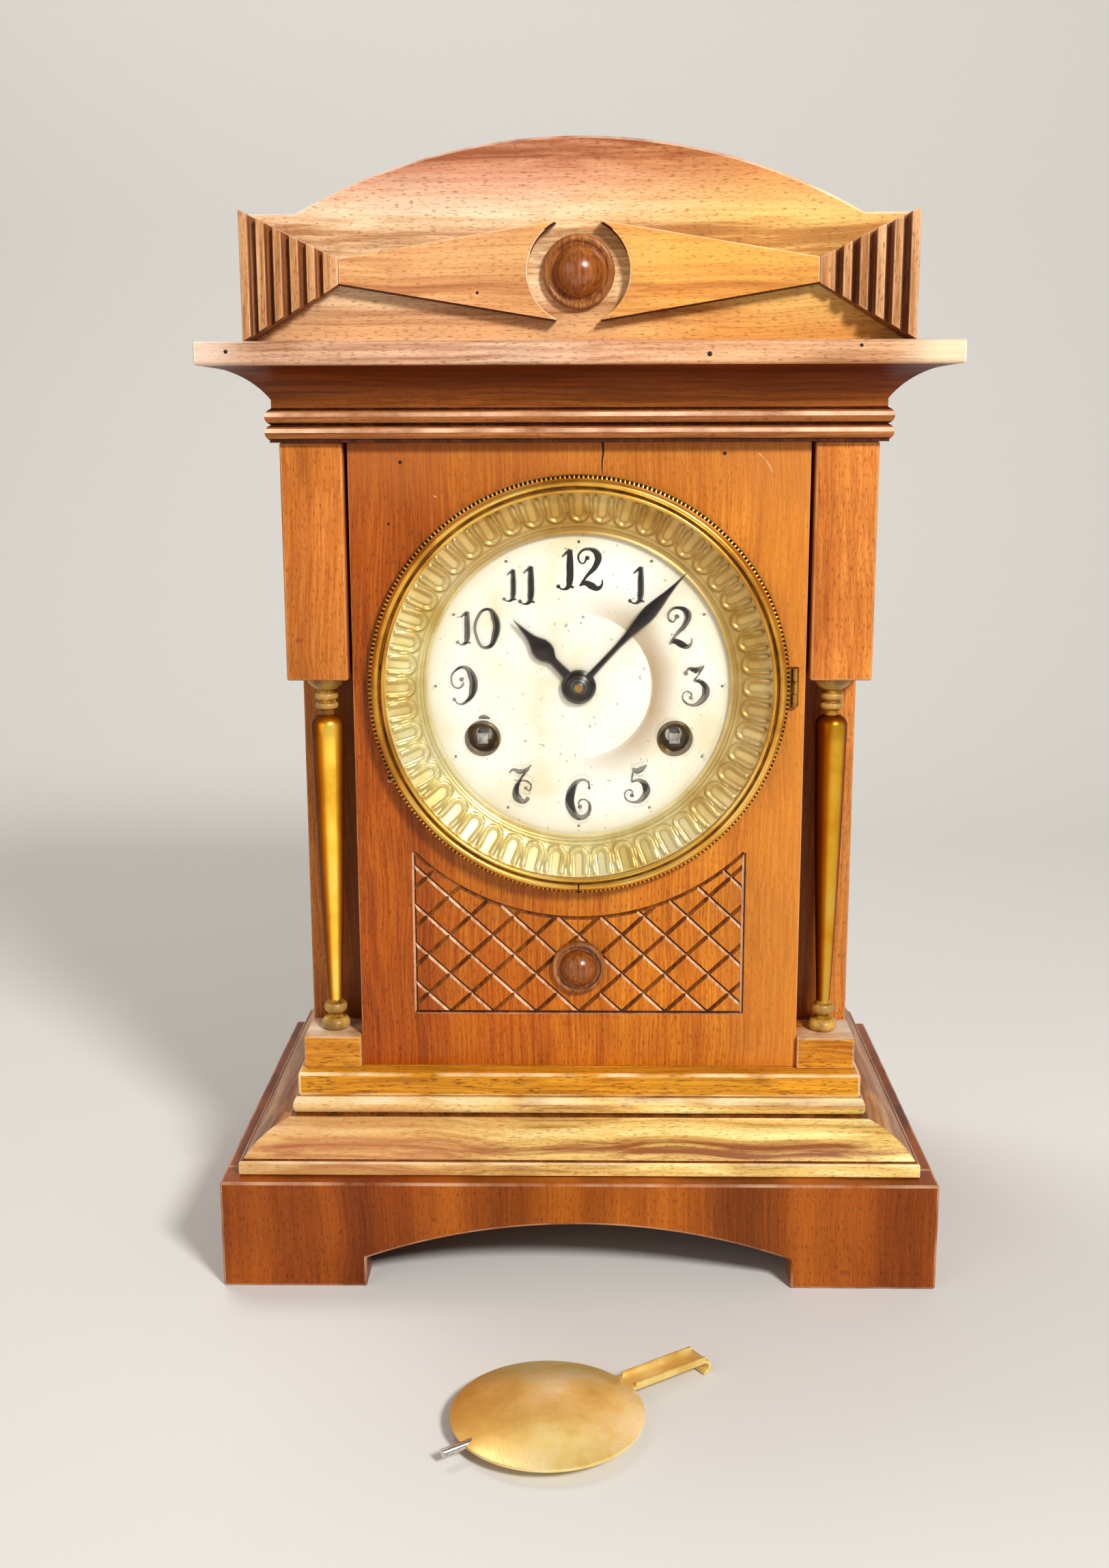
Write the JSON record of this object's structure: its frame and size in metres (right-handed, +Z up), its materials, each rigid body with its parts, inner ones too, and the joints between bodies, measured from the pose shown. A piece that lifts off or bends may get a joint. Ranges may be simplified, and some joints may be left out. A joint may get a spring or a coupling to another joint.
{
  "type": "mantel clock",
  "caption": "Wooden mantel clock with turned columns, cornice and arched pediment, glazed bezel, gear-train movement with gong striking, back door, and its pendulum bob lying in front.",
  "frame": {"origin": "middle of the rectangle that the plinth stands on, at floor level", "axes": "+X to the viewer's right, +Y from the dial to the back, +Z up"},
  "size_m": [0.2574, 0.2959, 0.4],
  "materials": {
    "walnut": "aged satin varnish",
    "dark_walnut": "aged dark varnish, worn edges",
    "golden_walnut": "gloss varnish",
    "plain_wood": "unfinished",
    "brass": "tarnished",
    "gilt_brass": "embossed and gilded",
    "steel": "dull",
    "black_steel": "black gloss",
    "gong_steel": "oiled",
    "glass": "clear, domed",
    "dial_cream": "cream, printed numerals"
  },
  "bodies": {
    "case": {"plinth_front": "dark_walnut", "plinth_sides": "dark_walnut", "plinth_back": "plain_wood", "base_moulding": "walnut", "base_board": "walnut", "pedestals": "walnut", "columns": "golden_walnut", "corner_blocks": "walnut", "front_panel": "walnut", "corner_posts": "walnut", "side_panels": "walnut", "top_board": "plain_wood", "cornice_moulding": "walnut", "cornice_slab": "walnut", "pediment_board": "walnut", "fluted_blocks": "walnut", "bow_overlays": "golden_walnut", "pediment_boss": "dark_walnut", "lattice_boss": "dark_walnut", "door_hinges": "brass", "button_screw": "brass", "bezel_hinge": "brass", "dial": "dial_cream", "winding_grommets": "brass", "front_plate": "brass", "back_plate": "brass", "plate_pillars": "brass", "movement_brackets": "brass", "mainsprings": "steel", "gong": "gong_steel", "gong_block": "black_steel"},
    "bezel_door": {"bezel": "brass", "bezel_glass": "glass", "sight_ring": "gilt_brass"},
    "rear_door": {"back_door": "plain_wood", "door_hinge_leaves": "brass"},
    "turn_button": {"door_button": "brass"},
    "minute_arbor": {"centre_wheel": "brass", "minute_hand": "black_steel", "hand_nut": "brass"},
    "hour_pipe": {"hour_wheel": "brass", "hour_hand": "black_steel"},
    "motion_wheel": {"minute_wheel": "brass"},
    "second_arbor": {"second_wheel": "brass"},
    "third_arbor": {"third_wheel": "brass"},
    "escape_arbor": {"escape_wheel": "brass"},
    "going_barrel": {"going_great_wheel": "brass"},
    "going_winder": {"going_winding_arbor": "steel"},
    "strike_barrel": {"strike_great_wheel": "brass", "count_wheel": "brass"},
    "strike_winder": {"strike_winding_arbor": "steel"},
    "pin_arbor": {"pin_wheel": "brass"},
    "locking_arbor": {"locking_wheel": "brass"},
    "fly_arbor": {"fly": "brass"},
    "verge": {"anchor": "steel"},
    "pendulum": {"pendulum_leader": "steel"},
    "strike_hammer": {"hammer": "steel"},
    "bob": {"bob_disc": "brass", "bob_hook": "brass", "bob_rod": "steel"}
  },
  "joints": [
    {"name": "minute_turn", "type": "hinge", "parent": "case", "child": "minute_arbor", "pos_m": [0, -0.02, 0.2144], "axis": [0, 1, 0], "continuous": true},
    {"name": "hour_turn", "type": "hinge", "parent": "case", "child": "hour_pipe", "pos_m": [0, -0.02, 0.2144], "axis": [0, 1, 0], "continuous": true},
    {"name": "motion_wheel_turn", "type": "hinge", "parent": "case", "child": "motion_wheel", "pos_m": [0, -0.02, 0.2], "axis": [0, 1, 0], "continuous": true},
    {"name": "second_wheel_turn", "type": "hinge", "parent": "case", "child": "second_arbor", "pos_m": [0.00776, -0.02, 0.19169], "axis": [0, 1, 0], "continuous": true},
    {"name": "third_wheel_turn", "type": "hinge", "parent": "case", "child": "third_arbor", "pos_m": [0.01262, -0.02, 0.23242], "axis": [0, 1, 0], "continuous": true},
    {"name": "escape_wheel_turn", "type": "hinge", "parent": "case", "child": "escape_arbor", "pos_m": [0, -0.02, 0.25044], "axis": [0, 1, 0], "continuous": true},
    {"name": "going_great_wheel_turn", "type": "hinge", "parent": "case", "child": "going_barrel", "pos_m": [0.0345, -0.02, 0.1954], "axis": [0, 1, 0], "continuous": true},
    {"name": "going_winding", "type": "hinge", "parent": "going_barrel", "child": "going_winder", "pos_m": [0.0345, -0.02, 0.1954], "axis": [0, 1, 0], "range_deg": [0, 1440]},
    {"name": "pin_wheel_turn", "type": "hinge", "parent": "case", "child": "pin_arbor", "pos_m": [-0.02942, -0.02, 0.2242], "axis": [0, 1, 0], "continuous": true},
    {"name": "strike_great_wheel_turn", "type": "hinge", "parent": "case", "child": "strike_barrel", "pos_m": [-0.0345, -0.02, 0.1954], "axis": [0, 1, 0], "continuous": true},
    {"name": "strike_winding", "type": "hinge", "parent": "strike_barrel", "child": "strike_winder", "pos_m": [-0.0345, -0.02, 0.1954], "axis": [0, 1, 0], "range_deg": [0, 1440]},
    {"name": "locking_wheel_turn", "type": "hinge", "parent": "case", "child": "locking_arbor", "pos_m": [-0.03115, -0.02, 0.24392], "axis": [0, 1, 0], "continuous": true},
    {"name": "fly_turn", "type": "hinge", "parent": "case", "child": "fly_arbor", "pos_m": [-0.01889, -0.02, 0.25421], "axis": [0, 1, 0], "continuous": true},
    {"name": "pendulum_swing", "type": "hinge", "parent": "case", "child": "pendulum", "pos_m": [0, -0.02, 0.26726], "axis": [0, 1, 0], "range_deg": [-3.5, 3.5]},
    {"name": "anchor_rock", "type": "hinge", "parent": "case", "child": "verge", "pos_m": [0, -0.02, 0.26726], "axis": [0, 1, 0], "range_deg": [-3.5, 3.5]},
    {"name": "hammer_lift", "type": "hinge", "parent": "case", "child": "strike_hammer", "pos_m": [-0.0465, -0.02, 0.2364], "axis": [0, 1, 0], "range_deg": [0, 10]},
    {"name": "bezel_open", "type": "hinge", "parent": "case", "child": "bezel_door", "pos_m": [0.0766, -0.0539, 0.2144], "axis": [0, 0, 1], "range_deg": [0, 110]},
    {"name": "rear_door_open", "type": "hinge", "parent": "case", "child": "rear_door", "pos_m": [0.09335, 0.0883, 0.186], "axis": [0, 0, 1], "range_deg": [-110, 0]},
    {"name": "button_turn", "type": "hinge", "parent": "case", "child": "turn_button", "pos_m": [-0.0976, 0.086, 0.186], "axis": [0, 1, 0], "range_deg": [0, 90]},
    {"name": "bob_lift", "type": "slide", "parent": "case", "child": "bob", "axis": [0, 0, 1], "range_m": [0, 0.12]}
  ],
  "couplings": [
    {"joint": "hour_turn", "follows": "minute_turn", "ratio": 0.083333},
    {"joint": "motion_wheel_turn", "follows": "minute_turn", "ratio": -0.33333},
    {"joint": "second_wheel_turn", "follows": "minute_turn", "ratio": -0.14286},
    {"joint": "going_great_wheel_turn", "follows": "minute_turn", "ratio": 0.017857},
    {"joint": "third_wheel_turn", "follows": "minute_turn", "ratio": -10},
    {"joint": "escape_wheel_turn", "follows": "minute_turn", "ratio": 100},
    {"joint": "strike_great_wheel_turn", "follows": "pin_wheel_turn", "ratio": -0.10256},
    {"joint": "locking_wheel_turn", "follows": "pin_wheel_turn", "ratio": -8},
    {"joint": "fly_turn", "follows": "pin_wheel_turn", "ratio": 56},
    {"joint": "anchor_rock", "follows": "pendulum_swing", "ratio": 1}
  ]
}
